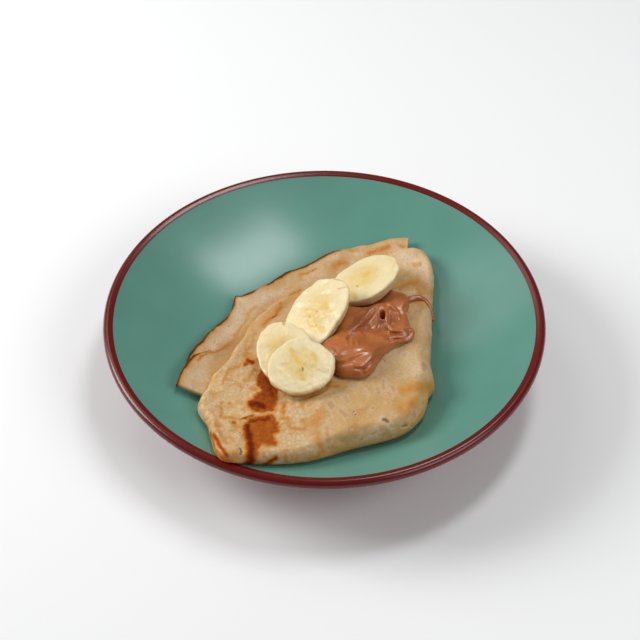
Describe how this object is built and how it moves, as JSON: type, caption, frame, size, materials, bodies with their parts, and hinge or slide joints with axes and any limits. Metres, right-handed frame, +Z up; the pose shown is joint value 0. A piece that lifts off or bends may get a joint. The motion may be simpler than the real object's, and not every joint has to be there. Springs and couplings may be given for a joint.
{
  "type": "folded crepe on a plate",
  "caption": "Folded crepe with browned patches, shingled banana slices and a heap of hazelnut spread, on its shallow round stoneware plate.",
  "frame": {"origin": "on the table, under the middle of the plate", "axes": "+Z up, +Y towards the back of the plate, +X to the right as the crepe is seen"},
  "size_m": [0.2296, 0.2296, 0.0497],
  "materials": {
    "glaze": "satin glazed stoneware, teal inside with a maroon rim",
    "batter": "soft fried batter, pale with brown patches",
    "banana": "moist cut fruit",
    "spread": "glossy soft spread"
  },
  "bodies": {
    "root": {"plate": "glaze", "crepe": "batter", "banana_slice_1": "banana", "banana_slice_2": "banana", "banana_slice_3": "banana", "banana_slice_4": "banana", "chocolate_spread": "spread"}
  },
  "joints": []
}
